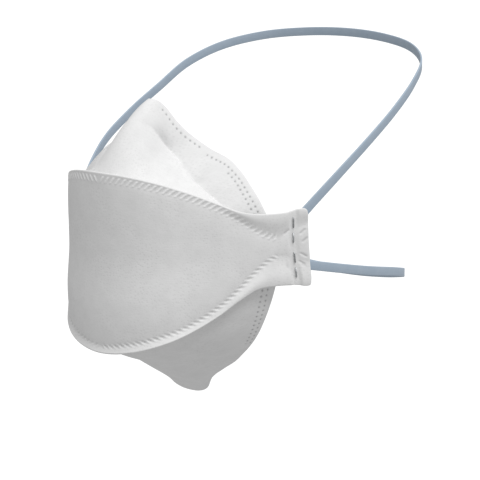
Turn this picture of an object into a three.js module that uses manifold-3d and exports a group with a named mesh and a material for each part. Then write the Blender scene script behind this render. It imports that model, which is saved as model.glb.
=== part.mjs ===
// Disposable respirator: a three-panel, flat-fold face mask held open as it is when worn.
// Millimetres, +Z up. The front of the mask looks along -Y and it is symmetric about X = 0.
// The origin is where the mask sits: in the middle of the face opening, level with the tabs.
// The pieces are laid out from the front of the centre panel, which is SEAT_DEPTH before it.
import * as THREE from 'three';
import { LoftGeometry } from 'three/addons/geometries/LoftGeometry.js';
import { mergeVertices } from 'three/addons/utils/BufferGeometryUtils.js';
import Module from 'manifold-3d';

// ---- Driving dimensions -------------------------------------------------------------------

const SEAT_DEPTH = 54;

// Plan of the centre panel: a round front, then almost straight cheeks out to the tab ends.
const FRONT_RADIUS = 47;
const FRONT_TURN = THREE.MathUtils.degToRad(48);
const CHEEK_RADIUS = 400;
const HALF_LENGTH = 105;

// Cloth
const CENTRE_CLOTH = 1.6;
const TAB_CLOTH = 2.2;
const SIDE_CLOTH = 1.4;
const GAP = 0.3;
const MERGE_DISTANCE = 1e-4;

// Relief of the centre panel: the welds are pressed in and the cloth between them puffs out.
// The strips beyond the welds curl out at the front of the mask, the top one only at its very
// edge, and they bulge on the tabs.
const BODY_PUFF = 0.5;
const BODY_RISE = 4;
const CURL_SHARE = 0.9;
const TOP_CURL_POWER = 6;
const BOTTOM_CURL_POWER = 1.4;
const TOP_BULGE = 1.5;
const BOTTOM_BULGE = 1.8;
const BULGE_REACH = 0.64;
const CURL_END = 58;
const BULGE_START = 76;
const BULGE_FADE_START = 88;
const BULGE_FADE_END = 98;
const BULGE_LEFT = 0.5;
const EDGE_ROUNDING = 0.7;
const EDGE_CLOTH = 1.1;
const WELD_TUCK = 1.5;

// The upright shape of the front fades out along the cloth from here to here.
const FRONT_FADE_START = 20;
const FRONT_FADE_END = 80;

// Side tabs, with two staples in each; the lower half of each tab is pulled a little longer, and
// its end bows out.
const TAB_START = 84;
const TAB_BLEND = 8;
const CORNER_RADIUS = 2.4;
const TAB_SLANT = 0.105;
const SLANT_TOP = 4;
const SLANT_ROUNDING = 2;
const SLANT_FULL = 96;
const END_BOW = 0.6;
const END_BOW_MIDDLE = 1;
const END_BOW_HEIGHT = 19.5;
const END_BOW_START = 99;
const STAPLE_AT = 97.4;
const STAPLE_SEAT = -0.2;
const STAPLE_FLAT = 1.2;
const STAPLE_FREE = 3.2;
const SLOT_GAP = 0.3;
const STAPLE_CROWN = 12.2;
const STAPLE_LEG_FOLD = 4.9;
const WIRE_WIDTH = 0.7;
const WIRE_THICKNESS = 0.5;
const UPPER_STAPLE_HEIGHT = 10.2;
const LOWER_STAPLE_HEIGHT = -7.1;

// Headbands: flat elastic strip
const BAND_WIDTH = 4.7;
const BAND_THICKNESS = 1;
const BAND_STEPS = 60;

// Where the sections and the points of each cloth surface lie
const FREE_LENGTH = 90;
const CENTRE_SECTIONS = 20;
const TAB_STATIONS = [
  93,
  STAPLE_AT - STAPLE_FLAT,
  STAPLE_AT + STAPLE_FLAT,
  STAPLE_AT + STAPLE_FREE,
  HALF_LENGTH - CORNER_RADIUS,
  HALF_LENGTH - 1,
  HALF_LENGTH - 0.3,
  HALF_LENGTH,
];
const FLANGE_SHARES = [0.08, 0.2, 0.4, 0.7];
const BODY_SHARES = [0, 0.06, 0.2, 0.5, 0.8, 0.94, 1];
const INSIDE_SHARES = [0, 0.1, 0.3, 0.5, 0.7, 0.9, 1];
const SIDE_SECTIONS = 18;
const SIDE_POINTS = 9;

// Centre panel outline: s is the distance from the middle along the cloth, the rest are heights.
const CENTRE_ROWS = [
  { s: 0, topEdge: 39.4, topWeld: 35.4, bottomWeld: -46.0, bottomEdge: -49.8 },
  { s: 15, topEdge: 38.6, topWeld: 34.9, bottomWeld: -43.8, bottomEdge: -48.2 },
  { s: 30, topEdge: 35.8, topWeld: 32.4, bottomWeld: -39.8, bottomEdge: -44.2 },
  { s: 45, topEdge: 31.0, topWeld: 27.8, bottomWeld: -34.4, bottomEdge: -38.4 },
  { s: 60, topEdge: 25.0, topWeld: 21.6, bottomWeld: -25.7, bottomEdge: -30.3 },
  { s: 70, topEdge: 21.0, topWeld: 16.2, bottomWeld: -17.4, bottomEdge: -23.2 },
  { s: 79, topEdge: 19.4, topWeld: 10.2, bottomWeld: -8.6, bottomEdge: -18.0 },
  { s: 88, topEdge: 19.1, topWeld: 6.6, bottomWeld: -2.4, bottomEdge: -16.8 },
  { s: 96, topEdge: 19.6, topWeld: 9.4, bottomWeld: -2.8, bottomEdge: -17.2 },
  { s: 101, topEdge: 20.7, topWeld: 11.4, bottomWeld: -4.8, bottomEdge: -17.9 },
  { s: 105, topEdge: 20.5, topWeld: 12.8, bottomWeld: -6.2, bottomEdge: -18.2 },
];

// How deep each weld is pressed in, or stands out where the depth is negative, and how far the
// strip beyond it curls out.
const WELD_ROWS = [
  { s: 0, topDepth: -0.4, topCurl: 0.4, bottomDepth: 0.8, bottomCurl: 0.5 },
  { s: 12, topDepth: -0.1, topCurl: 0.2, bottomDepth: 0.8, bottomCurl: 0.5 },
  { s: 25, topDepth: 0.1, topCurl: 0.15, bottomDepth: 0.7, bottomCurl: 0.7 },
  { s: 45, topDepth: 0.1, topCurl: 0.15, bottomDepth: 0.6, bottomCurl: 0.9 },
  { s: 65, topDepth: 0.15, topCurl: 0.25, bottomDepth: 0.3, bottomCurl: 0.7 },
  { s: 80, topDepth: 0.2, topCurl: 0.4, bottomDepth: 0.2, bottomCurl: 0.5 },
  { s: 96, topDepth: 0.1, topCurl: 0.4, bottomDepth: 0.1, bottomCurl: 0.5 },
  { s: 105, topDepth: 0.1, topCurl: 0.4, bottomDepth: 0.1, bottomCurl: 0.5 },
];

// Upright shape of the front, out from a straight wall: s is the share of the height, from the
// bottom edge to the top edge.
const FRONT_ROWS = [
  { s: 0, out: 0.85 },
  { s: 0.1, out: 0.65 },
  { s: 0.18, out: 0.7 },
  { s: 0.27, out: 0.6 },
  { s: 0.35, out: 0.05 },
  { s: 0.45, out: -0.75 },
  { s: 0.52, out: -1.05 },
  { s: 0.6, out: -1 },
  { s: 0.66, out: -0.98 },
  { s: 0.75, out: -0.8 },
  { s: 0.88, out: -0.7 },
  { s: 1, out: -0.7 },
];

// Top panel: from the top weld at s to the face seal at x, y, z. rise and lean are how far the
// cloth first goes up and back from the weld; run and fall are how it arrives at the seal.
const TOP_ROWS = [
  { s: 0, rise: 9, lean: 6, x: 0, y: 38.6, z: 70.4, run: 17, fall: 8 },
  { s: 5, rise: 9, lean: 6, x: 2.9, y: 40.2, z: 69.8, run: 17, fall: 8 },
  { s: 10, rise: 8, lean: 6, x: 5.5, y: 42.8, z: 67, run: 16, fall: 7 },
  { s: 19, rise: 7, lean: 7, x: 11.2, y: 45.5, z: 60.1, run: 12, fall: 5 },
  { s: 28, rise: 6, lean: 7, x: 18.1, y: 48.5, z: 53.3, run: 8, fall: 4 },
  { s: 37, rise: 6, lean: 7, x: 27.5, y: 50.5, z: 47.4, run: 6, fall: 3 },
  { s: 47, rise: 6, lean: 6, x: 38.6, y: 51.8, z: 43, run: 5, fall: 2 },
  { s: 55, rise: 6, lean: 5, x: 46, y: 52.4, z: 37.2, run: 5, fall: 2 },
  { s: 62, rise: 6, lean: 4, x: 51.3, y: 52, z: 31.9, run: 4, fall: 2 },
  { s: 70, rise: 5, lean: 3, x: 56.6, y: 51.7, z: 25.9, run: 3, fall: 2 },
  { s: 78, rise: 4, lean: 2, x: 59.7, y: 53.5, z: 18.9, run: 2, fall: 1 },
  { s: 85, rise: 2, lean: 1, x: 61.8, y: 56.8, z: 12.4, run: 2, fall: 1 },
  { s: 91, rise: 1, lean: 1, x: 63.6, y: 60, z: 7.6, run: 1, fall: 1 },
];

// Bottom panel: from the bottom weld at s to the face seal, with the chin tab in the middle.
const BOTTOM_ROWS = [
  { s: 0, rise: -9, lean: 12, x: 0, y: 67.5, z: -85, run: 8, fall: -11 },
  { s: 6, rise: -9, lean: 12, x: 7.4, y: 67.4, z: -84.1, run: 8, fall: -11 },
  { s: 10, rise: -9, lean: 12, x: 12.5, y: 67, z: -81.2, run: 9, fall: -9 },
  { s: 13, rise: -9, lean: 11, x: 15.8, y: 66.5, z: -75.4, run: 12, fall: -4 },
  { s: 20, rise: -9, lean: 11, x: 23.9, y: 66.3, z: -69, run: 14, fall: -2 },
  { s: 28, rise: -9, lean: 10, x: 31.5, y: 65.9, z: -63.6, run: 14, fall: -1 },
  { s: 36, rise: -9, lean: 9, x: 38, y: 64.5, z: -57.4, run: 14, fall: 0 },
  { s: 44, rise: -9, lean: 8, x: 44, y: 63.5, z: -51, run: 13, fall: 0 },
  { s: 52, rise: -8, lean: 6, x: 49.5, y: 62, z: -44, run: 11, fall: 0 },
  { s: 60, rise: -7, lean: 4, x: 53.8, y: 61, z: -36.5, run: 9, fall: 0 },
  { s: 68, rise: -6, lean: 3, x: 57.2, y: 60.4, z: -29.2, run: 7, fall: 1 },
  { s: 75, rise: -5, lean: 2, x: 60, y: 60, z: -22, run: 5, fall: 1 },
  { s: 83, rise: -4, lean: 1, x: 62, y: 60.2, z: -14.5, run: 3, fall: 2 },
  { s: 91, rise: -2, lean: 1, x: 63.8, y: 61, z: -7.4, run: 1, fall: 1 },
];

// Fold across the top panel over the end of the nose piece: at is the share of the way from weld
// to seal, valley is how far the two flat sides dip to meet there, dimple is a dent beside it,
// and flank is how far the side of the nose lies in, half-way up, from a round panel.
const DIMPLE_WELD_SIDE = 1.5;
const DIMPLE_SEAL_SIDE = 6.5;
const CREASE_SPAN = 45;
const CREASE_ROWS = [
  { s: 0, at: 0.68, valley: 0.3, dimple: 0.1, flank: -1.2 },
  { s: 4, at: 0.68, valley: 0.5, dimple: 0.1, flank: -1.2 },
  { s: 12, at: 0.71, valley: 1.8, dimple: 0.6, flank: -0.8 },
  { s: 20, at: 0.745, valley: 3.4, dimple: 3.3, flank: 0.6 },
  { s: 27, at: 0.72, valley: 3.9, dimple: 3.4, flank: 0.9 },
  { s: 35, at: 0.59, valley: 4, dimple: 1.2, flank: 0.9 },
  { s: 43, at: 0.47, valley: 3.8, dimple: 2.6, flank: 0.4 },
  { s: 50, at: 0.36, valley: 3.2, dimple: 1.8, flank: 0.1 },
  { s: 58, at: 0.28, valley: 2.4, dimple: 1, flank: 0 },
  { s: 66, at: 0.18, valley: 1.1, dimple: 0.3, flank: 0 },
  { s: 74, at: 0.1, valley: 0, dimple: 0, flank: 0 },
];

// The bottom panel bows out below its weld and dips above the chin tab, near the middle.
const BOW_END = 34;
const BOW_ROWS = [
  { s: 0, press: 0 },
  { s: 0.24, press: -1 },
  { s: 0.52, press: 0.6 },
  { s: 0.74, press: -0.4 },
  { s: 1, press: 0 },
];

// Headband routes: along the inside of the tab, then round the head to the middle of its back
const UPPER_TAB_ROUTE = [
  { s: 93, z: 6.4 },
  { s: 97.4, z: 10.4 },
  { s: 101.4, z: 15 },
  { s: 105.2, z: 19 },
];
const LOWER_TAB_ROUTE = [
  { s: 93, z: -6.9 },
  { s: 98, z: -7.2 },
  { s: 102.5, z: -7.8 },
  { s: 107.5, z: -8.6 },
];
const UPPER_ROUTE = [
  { x: 77.7, y: 90, z: 35 },
  { x: 79, y: 113, z: 48 },
  { x: 78, y: 137, z: 60.1 },
  { x: 75.5, y: 158, z: 71.4 },
  { x: 67, y: 179, z: 80 },
  { x: 50, y: 195, z: 85.5 },
  { x: 26, y: 204, z: 88.5 },
];
const UPPER_BACK = { x: 0, y: 207, z: 89.5 };
const LOWER_ROUTE = [
  { x: 78, y: 91, z: -13.2 },
  { x: 77.3, y: 117, z: -19.4 },
  { x: 74.5, y: 143.5, z: -25.3 },
  { x: 68.5, y: 163.5, z: -30.4 },
  { x: 57, y: 178, z: -35.2 },
  { x: 41, y: 188, z: -39.6 },
  { x: 21, y: 193, z: -42.6 },
];
const LOWER_BACK = { x: 0, y: 194.5, z: -43.6 };

const { lerp, smoothstep } = THREE.MathUtils;

// ---- Smooth tables ------------------------------------------------------------------------

// Cubic through the rows, level at the first row, which is on the line of symmetry.
function slope(rows, key, i) {
  if (i === 0) return 0;
  const before = rows[i - 1];
  const after = rows[Math.min(i + 1, rows.length - 1)];
  return (after[key] - before[key]) / (after.s - before.s);
}

// odd columns, such as x, pass through zero at the middle instead of being level there
function readRow(rows, key, s, odd = false) {
  const last = rows.length - 2;
  let i = 0;
  while (i < last && s > rows[i + 1].s) i += 1;
  const [a, b] = [rows[i], rows[i + 1]];
  const step = b.s - a.s;
  const t = THREE.MathUtils.clamp((s - a.s) / step, 0, 1);
  const startSlope = odd && i === 0 ? (b[key] - a[key]) / step : slope(rows, key, i);
  const endSlope = slope(rows, key, i + 1);
  const [t2, t3] = [t * t, t * t * t];
  return (2 * t3 - 3 * t2 + 1) * a[key] + (t3 - 2 * t2 + t) * step * startSlope
    + (3 * t2 - 2 * t3) * b[key] + (t3 - t2) * step * endSlope;
}

// ---- Centre panel -------------------------------------------------------------------------

// A point s along the centre panel at height z, moved out from the face by out.
function planPoint(s, z, out) {
  const side = Math.sign(s) || 1;
  const distance = Math.abs(s);
  const frontLength = FRONT_RADIUS * FRONT_TURN;
  const onFront = distance < frontLength;
  const turn = onFront ? distance / FRONT_RADIUS : FRONT_TURN + (distance - frontLength) / CHEEK_RADIUS;
  const radius = onFront ? FRONT_RADIUS : CHEEK_RADIUS;
  const offset = FRONT_RADIUS - radius;
  const startTurn = onFront ? 0 : FRONT_TURN;
  const x = offset * Math.sin(startTurn) + (radius + out) * Math.sin(turn);
  const y = FRONT_RADIUS - offset * Math.cos(startTurn) - (radius + out) * Math.cos(turn);
  return new THREE.Vector3(side * x, y, z);
}

function centreRow(s) {
  const distance = Math.abs(s);
  const corner = Math.max(0, distance - (HALF_LENGTH - CORNER_RADIUS));
  const rounding = CORNER_RADIUS - Math.sqrt(Math.max(0, CORNER_RADIUS ** 2 - corner ** 2));
  return {
    topEdge: readRow(CENTRE_ROWS, 'topEdge', distance) - rounding,
    topWeld: readRow(CENTRE_ROWS, 'topWeld', distance),
    bottomWeld: readRow(CENTRE_ROWS, 'bottomWeld', distance),
    bottomEdge: readRow(CENTRE_ROWS, 'bottomEdge', distance) + rounding,
  };
}

// How much further out the lower half of each tab reaches, and how far its end bows out.
function tabSlant(distance, z) {
  const below = SLANT_TOP - z;
  const pull = TAB_SLANT * (below + Math.hypot(below, SLANT_ROUNDING)) / 2;
  const bow = END_BOW * Math.max(0, 1 - ((z - END_BOW_MIDDLE) / END_BOW_HEIGHT) ** 2);
  const slantShare = smoothstep(distance, TAB_START, SLANT_FULL);
  return pull * slantShare + bow * smoothstep(distance, END_BOW_START, HALF_LENGTH);
}

// A point of the centre panel: s is read along its flat cloth, before the tabs are pulled.
function clothPoint(s, z, out) {
  const side = Math.sign(s) || 1;
  return planPoint(s + side * tabSlant(Math.abs(s), z), z, out);
}

// Upright shape of the whole cloth, strongest at the front of the mask.
function bodyShift(s, z, row) {
  const share = (z - row.bottomEdge) / (row.topEdge - row.bottomEdge);
  const fade = 1 - smoothstep(Math.abs(s), FRONT_FADE_START, FRONT_FADE_END);
  return readRow(FRONT_ROWS, 'out', share) * fade;
}

// How far the strip beyond a weld stands out: a curl at the front, a soft bulge on the tabs.
function flangePuff(distance, share, depth, curl, power, bulge) {
  const bent = (curl + depth) * Math.min(share / CURL_SHARE, 1) ** power;
  const left = lerp(1, BULGE_LEFT, smoothstep(distance, BULGE_FADE_START, BULGE_FADE_END));
  const swollen = (bulge * left + depth) * Math.sin(Math.PI * BULGE_REACH * share) ** 2;
  return lerp(bent, swollen, smoothstep(distance, CURL_END, BULGE_START)) - depth;
}

// Outside of the cloth: puffed between the welds and beyond them, and flat under the staples.
function outsideOf(s, z, row) {
  const distance = Math.abs(s);
  const weld = (key) => readRow(WELD_ROWS, key, distance);
  const [topDepth, bottomDepth] = [weld('topDepth'), weld('bottomDepth')];
  const toTop = row.topWeld - z;
  const toBottom = z - row.bottomWeld;
  let puff;
  if (toTop < 0) {
    const share = -toTop / (row.topEdge - row.topWeld);
    puff = flangePuff(distance, share, topDepth, weld('topCurl'), TOP_CURL_POWER, TOP_BULGE);
  } else if (toBottom < 0) {
    const share = -toBottom / (row.bottomWeld - row.bottomEdge);
    puff = flangePuff(distance, share, bottomDepth, weld('bottomCurl'), BOTTOM_CURL_POWER, BOTTOM_BULGE);
  } else {
    const depth = lerp(topDepth, bottomDepth, toTop / (row.topWeld - row.bottomWeld));
    const rise = (1 - Math.exp(-toTop / BODY_RISE)) * (1 - Math.exp(-toBottom / BODY_RISE));
    puff = (BODY_PUFF + depth) * rise - depth;
  }
  const freeShare = smoothstep(Math.abs(distance - STAPLE_AT), STAPLE_FLAT, STAPLE_FREE);
  return lerp(STAPLE_SEAT, puff + bodyShift(s, z, row), freeShare);
}

function insideOf(s, z, row) {
  const tabShare = smoothstep(Math.abs(s), TAB_START - TAB_BLEND, TAB_START);
  return bodyShift(s, z, row) - lerp(CENTRE_CLOTH, TAB_CLOTH, tabShare);
}

// Closed section of the centre panel: up the inside face, then down the outside face.
function centreSection(s) {
  const row = centreRow(s);
  const between = (from, to, shares) => shares.map((share) => lerp(from, to, share));
  const outsideHeights = [
    ...between(row.topEdge, row.topWeld, FLANGE_SHARES),
    ...between(row.topWeld, row.bottomWeld, BODY_SHARES),
    ...between(row.bottomWeld, row.bottomEdge, FLANGE_SHARES.map((share) => 1 - share).toReversed()),
  ];
  const insideHeights = between(row.bottomEdge + EDGE_ROUNDING, row.topEdge - EDGE_ROUNDING, INSIDE_SHARES);
  const edgePoint = (z) => clothPoint(s, z, outsideOf(s, z, row) - EDGE_CLOTH / 2);
  return [
    ...insideHeights.map((z) => clothPoint(s, z, insideOf(s, z, row))),
    edgePoint(row.topEdge),
    ...outsideHeights.map((z) => clothPoint(s, z, outsideOf(s, z, row))),
    edgePoint(row.bottomEdge),
  ];
}

// Positions along the cloth from one tab end to the other, closer together at the tabs.
function centreStations() {
  const half = [];
  for (let i = 0; i <= CENTRE_SECTIONS; i += 1) half.push(FREE_LENGTH * i / CENTRE_SECTIONS);
  half.push(...TAB_STATIONS);
  const mirrored = half.slice(1).toReversed().map((s) => -s);
  return [...mirrored, ...half];
}

function centrePanel() {
  return solidOf(new LoftGeometry(centreStations().map(centreSection), { capStart: true, capEnd: true }));
}

// ---- Top and bottom panels ----------------------------------------------------------------

// A point of a side panel, share of the way from its weld to the face seal.
function sidePoint(rows, weld, tuck, s, share) {
  const distance = Math.abs(s);
  const side = Math.sign(s) || 1;
  const row = centreRow(s);
  const read = (key, odd) => readRow(rows, key, distance, odd);
  const height = row[weld] + tuck;
  const startOut = insideOf(s, height, row) - GAP;
  const start = planPoint(s, height, startOut);
  const inward = planPoint(s, height, startOut - 1).sub(start);
  const end = new THREE.Vector3(side * read('x', true), read('y'), read('z'));
  const leave = start.clone().addScaledVector(inward, read('lean'));
  leave.z += read('rise');
  const arrive = end.clone().addScaledVector(inward, -read('run'));
  arrive.z -= read('fall');
  return new THREE.CubicBezierCurve3(start, leave, arrive, end).getPoint(share);
}

// Grid of points over a side panel, across the mask from one tab to the other.
function sideGrid(rows, weld, tuck, pressIn, outsideSign) {
  const reach = rows.at(-1).s;
  const grid = [];
  for (let i = -SIDE_SECTIONS; i <= SIDE_SECTIONS; i += 1) {
    const s = reach * i / SIDE_SECTIONS;
    const line = [];
    for (let j = 0; j < SIDE_POINTS; j += 1) {
      line.push(sidePoint(rows, weld, tuck, s, j / (SIDE_POINTS - 1)));
    }
    grid.push(line);
  }
  const normals = gridNormals(grid);
  return grid.map((line, i) => line.map((point, j) => {
    const s = reach * (i / SIDE_SECTIONS - 1);
    const press = pressIn(Math.abs(s), j / (SIDE_POINTS - 1));
    return point.clone().addScaledVector(normals[i][j], -outsideSign * press);
  }));
}

// Unit normals of a grid: out of the mask if the grid runs up from its weld, into it if down.
function gridNormals(grid) {
  return grid.map((line, i) => line.map((point, j) => {
    const before = grid[Math.max(i - 1, 0)][j];
    const after = grid[Math.min(i + 1, grid.length - 1)][j];
    const across = after.clone().sub(before);
    const along = line[Math.min(j + 1, line.length - 1)].clone().sub(line[Math.max(j - 1, 0)]);
    return across.cross(along).normalize();
  }));
}

// Cloth of even thickness behind the grid of a side panel; outsideSign turns the grid's normals
// to the outside of the mask.
function sideCloth(rows, weld, tuck, pressIn, outsideSign) {
  const grid = sideGrid(rows, weld, tuck, pressIn, outsideSign);
  const normals = gridNormals(grid);
  const sections = grid.map((outside, i) => {
    const inside = outside.map((point, j) => (
      point.clone().addScaledVector(normals[i][j], -outsideSign * SIDE_CLOTH)
    ));
    return outsideSign > 0 ? [...inside, ...outside.toReversed()] : [...outside, ...inside.toReversed()];
  });
  return solidOf(new LoftGeometry(sections, { capStart: true, capEnd: true }));
}

// How far the top panel is pressed in at a place: its two valleys, its dents and the nose's sides.
function topPress(distance, share) {
  if (distance >= CREASE_ROWS.at(-1).s) return 0;
  const read = (key) => readRow(CREASE_ROWS, key, distance);
  const at = read('at');
  const away = (share - at) * CREASE_SPAN;
  const valley = away < 0 ? share / at : (1 - share) / (1 - at);
  const dimple = Math.exp(away < 0 ? away / DIMPLE_WELD_SIDE : -away / DIMPLE_SEAL_SIDE);
  return read('valley') * valley + read('dimple') * dimple + read('flank') * Math.sin(Math.PI * share);
}

function bottomPress(distance, share) {
  return readRow(BOW_ROWS, 'press', share) * (1 - smoothstep(distance, BOW_END / 2, BOW_END));
}

function topPanel() {
  return sideCloth(TOP_ROWS, 'topWeld', -WELD_TUCK, topPress, 1);
}

function bottomPanel() {
  return sideCloth(BOTTOM_ROWS, 'bottomWeld', WELD_TUCK, bottomPress, -1);
}

// ---- Headbands ----------------------------------------------------------------------------

// Whole route of a band: along the inside of one tab, round the head, to the other tab.
function bandCurve(tabHeights, route, back) {
  const out = -TAB_CLOTH - GAP - BAND_THICKNESS / 2;
  const near = [
    ...tabHeights.map(({ s, z }) => planPoint(s, z, out)),
    ...route.map(({ x, y, z }) => new THREE.Vector3(x, y, z)),
  ];
  const far = near.map((point) => new THREE.Vector3(-point.x, point.y, point.z)).toReversed();
  const middle = new THREE.Vector3(back.x, back.y, back.z);
  return new THREE.CatmullRomCurve3([...near, middle, ...far], false, 'centripetal');
}

function band(tabHeights, route, back) {
  const curve = bandCurve(tabHeights, route, back);
  const up = new THREE.Vector3(0, 0, 1);
  const sections = [];
  for (let i = 0; i <= BAND_STEPS; i += 1) {
    const centre = curve.getPointAt(i / BAND_STEPS);
    const along = curve.getTangentAt(i / BAND_STEPS);
    const outward = along.clone().cross(up).normalize();
    const across = outward.clone().cross(along).normalize();
    const corner = (a, b) => centre.clone()
      .addScaledVector(across, a * BAND_WIDTH / 2)
      .addScaledVector(outward, b * BAND_THICKNESS / 2);
    sections.push([corner(-1, -1), corner(1, -1), corner(1, 1), corner(-1, 1)]);
  }
  return solidOf(new LoftGeometry(sections, { capStart: true, capEnd: true }));
}

// ---- Staples ------------------------------------------------------------------------------

// Wire centreline: crown inside over the band, legs out through the tab and folded together.
// It follows the slant of the tab.
function stapleRoute(side, height) {
  const half = STAPLE_CROWN / 2;
  const bandInside = -TAB_CLOTH - GAP - BAND_THICKNESS;
  const crownOut = bandInside - GAP - WIRE_THICKNESS / 2;
  const foldOut = STAPLE_SEAT + GAP + WIRE_THICKNESS / 2;
  return [
    [half - STAPLE_LEG_FOLD, foldOut],
    [half, foldOut],
    [half, crownOut],
    [-half, crownOut],
    [-half, foldOut],
    [-half + STAPLE_LEG_FOLD, foldOut],
  ].map(([rise, out]) => clothPoint(side * STAPLE_AT, height + rise, out));
}

// Square-cornered wire along a route that stays in one upright plane, mitred at its corners.
function wireSolid(route, width, thickness) {
  const planeNormal = new THREE.Vector3().crossVectors(
    route[1].clone().sub(route[0]),
    route[2].clone().sub(route[1]),
  ).normalize();
  const sections = route.map((point, i) => {
    const inDirection = point.clone().sub(route[Math.max(i - 1, 0)]);
    const outDirection = route[Math.min(i + 1, route.length - 1)].clone().sub(point);
    if (i === 0) inDirection.copy(outDirection);
    if (i === route.length - 1) outDirection.copy(inDirection);
    const edgeNormal = planeNormal.clone().cross(inDirection).normalize();
    const mitre = edgeNormal.clone().add(planeNormal.clone().cross(outDirection).normalize()).normalize();
    mitre.divideScalar(mitre.dot(edgeNormal));
    const corner = (a, b) => point.clone()
      .addScaledVector(planeNormal, a * width / 2)
      .addScaledVector(mitre, b * thickness / 2);
    return [corner(-1, -1), corner(-1, 1), corner(1, 1), corner(1, -1)];
  });
  return solidOf(new LoftGeometry(sections, { capStart: true, capEnd: true }));
}

// ---- Solids and booleans ------------------------------------------------------------------

// A geometry with shared vertices merged, holding positions only.
function solidOf(geometry) {
  const bare = new THREE.BufferGeometry();
  bare.setAttribute('position', geometry.getAttribute('position'));
  bare.setIndex(geometry.getIndex());
  return mergeVertices(bare, MERGE_DISTANCE);
}

const wasm = await Module();
wasm.setup();

function toManifold(geometry) {
  return new wasm.Manifold(new wasm.Mesh({
    numProp: 3,
    vertProperties: new Float32Array(geometry.getAttribute('position').array),
    triVerts: new Uint32Array(geometry.getIndex().array),
  }));
}

function fromManifold(manifold) {
  const mesh = manifold.getMesh();
  const geometry = new THREE.BufferGeometry();
  geometry.setAttribute('position', new THREE.BufferAttribute(mesh.vertProperties, mesh.numProp));
  geometry.setIndex(new THREE.BufferAttribute(mesh.triVerts, 1));
  return geometry;
}

// Slots through the tabs for the staple legs, with a gap all round the wire.
function legSlots(side, height) {
  return [-1, 1].map((end) => {
    const at = height + end * STAPLE_CROWN / 2;
    const route = [-2 * TAB_CLOTH, TAB_CLOTH].map((out) => clothPoint(side * STAPLE_AT, at, out));
    const along = route[1].clone().sub(route[0]).normalize();
    const across = new THREE.Vector3(0, 0, 1).cross(along);
    const sections = route.map((point) => [[-1, -1], [1, -1], [1, 1], [-1, 1]].map(([a, b]) => point.clone()
      .addScaledVector(across, a * (WIRE_WIDTH / 2 + SLOT_GAP))
      .add(new THREE.Vector3(0, 0, b * (WIRE_THICKNESS / 2 + SLOT_GAP)))));
    return toManifold(solidOf(new LoftGeometry(sections, { capStart: true, capEnd: true })));
  });
}

// ---- Assembly -----------------------------------------------------------------------------

const whiteCloth = { color: 0xe9eaea, roughness: 0.95, metalness: 0 };
const bandRubber = { color: 0x93adc4, roughness: 0.6, metalness: 0 };
const stapleSteel = { color: 0x8d8f92, roughness: 0.35, metalness: 1 };

const group = new THREE.Group();
group.position.y = -SEAT_DEPTH;

function addPart(name, geometry, finish) {
  const mesh = new THREE.Mesh(geometry, new THREE.MeshStandardMaterial(finish));
  mesh.name = name;
  group.add(mesh);
}

const staples = [
  { name: 'left_upper_staple', side: 1, height: UPPER_STAPLE_HEIGHT },
  { name: 'left_lower_staple', side: 1, height: LOWER_STAPLE_HEIGHT },
  { name: 'right_upper_staple', side: -1, height: UPPER_STAPLE_HEIGHT },
  { name: 'right_lower_staple', side: -1, height: LOWER_STAPLE_HEIGHT },
];

const slots = staples.flatMap(({ side, height }) => legSlots(side, height));
const slottedCentre = slots.reduce((panel, slot) => panel.subtract(slot), toManifold(centrePanel()));

addPart('centre_panel', fromManifold(slottedCentre), whiteCloth);
addPart('top_panel', topPanel(), whiteCloth);
addPart('bottom_panel', bottomPanel(), whiteCloth);
addPart('upper_headband', band(UPPER_TAB_ROUTE, UPPER_ROUTE, UPPER_BACK), bandRubber);
addPart('lower_headband', band(LOWER_TAB_ROUTE, LOWER_ROUTE, LOWER_BACK), bandRubber);
staples.forEach(({ name, side, height }) => {
  addPart(name, wireSolid(stapleRoute(side, height), WIRE_WIDTH, WIRE_THICKNESS), stapleSteel);
});

export default group;
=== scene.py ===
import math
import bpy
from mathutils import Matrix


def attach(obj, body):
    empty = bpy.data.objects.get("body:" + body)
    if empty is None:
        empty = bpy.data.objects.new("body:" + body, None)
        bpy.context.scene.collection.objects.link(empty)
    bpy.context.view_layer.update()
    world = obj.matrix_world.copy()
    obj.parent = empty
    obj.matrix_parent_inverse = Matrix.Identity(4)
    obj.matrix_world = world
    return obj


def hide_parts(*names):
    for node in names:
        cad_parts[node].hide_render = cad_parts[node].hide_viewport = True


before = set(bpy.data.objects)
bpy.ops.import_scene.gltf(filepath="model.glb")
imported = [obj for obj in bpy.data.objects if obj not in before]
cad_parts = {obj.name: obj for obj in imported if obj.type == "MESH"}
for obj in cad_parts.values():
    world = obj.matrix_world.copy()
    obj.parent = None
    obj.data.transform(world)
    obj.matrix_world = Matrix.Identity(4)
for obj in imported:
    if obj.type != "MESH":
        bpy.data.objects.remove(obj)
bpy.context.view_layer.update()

# Looks of the disposable respirator: cloth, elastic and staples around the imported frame.
# The same named values as the solids give the shapes, in millimetres, and each mesh is turned
# into metres as it is made. s is the distance along a cloth from the middle of the mask.
from types import SimpleNamespace

import bmesh
import bpy
import numpy as np
from mathutils import Matrix, Vector

MM = 0.001
SEAT_DEPTH = 54.0
BODY = "root"

# ---- Driving dimensions, as in the solids ---------------------------------------------------

FRONT_RADIUS = 47.0
FRONT_TURN = math.radians(48)
CHEEK_RADIUS = 400.0
HALF_LENGTH = 105.0

CENTRE_CLOTH = 1.6
TAB_CLOTH = 2.2
SIDE_CLOTH = 1.4
GAP = 0.3

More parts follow.
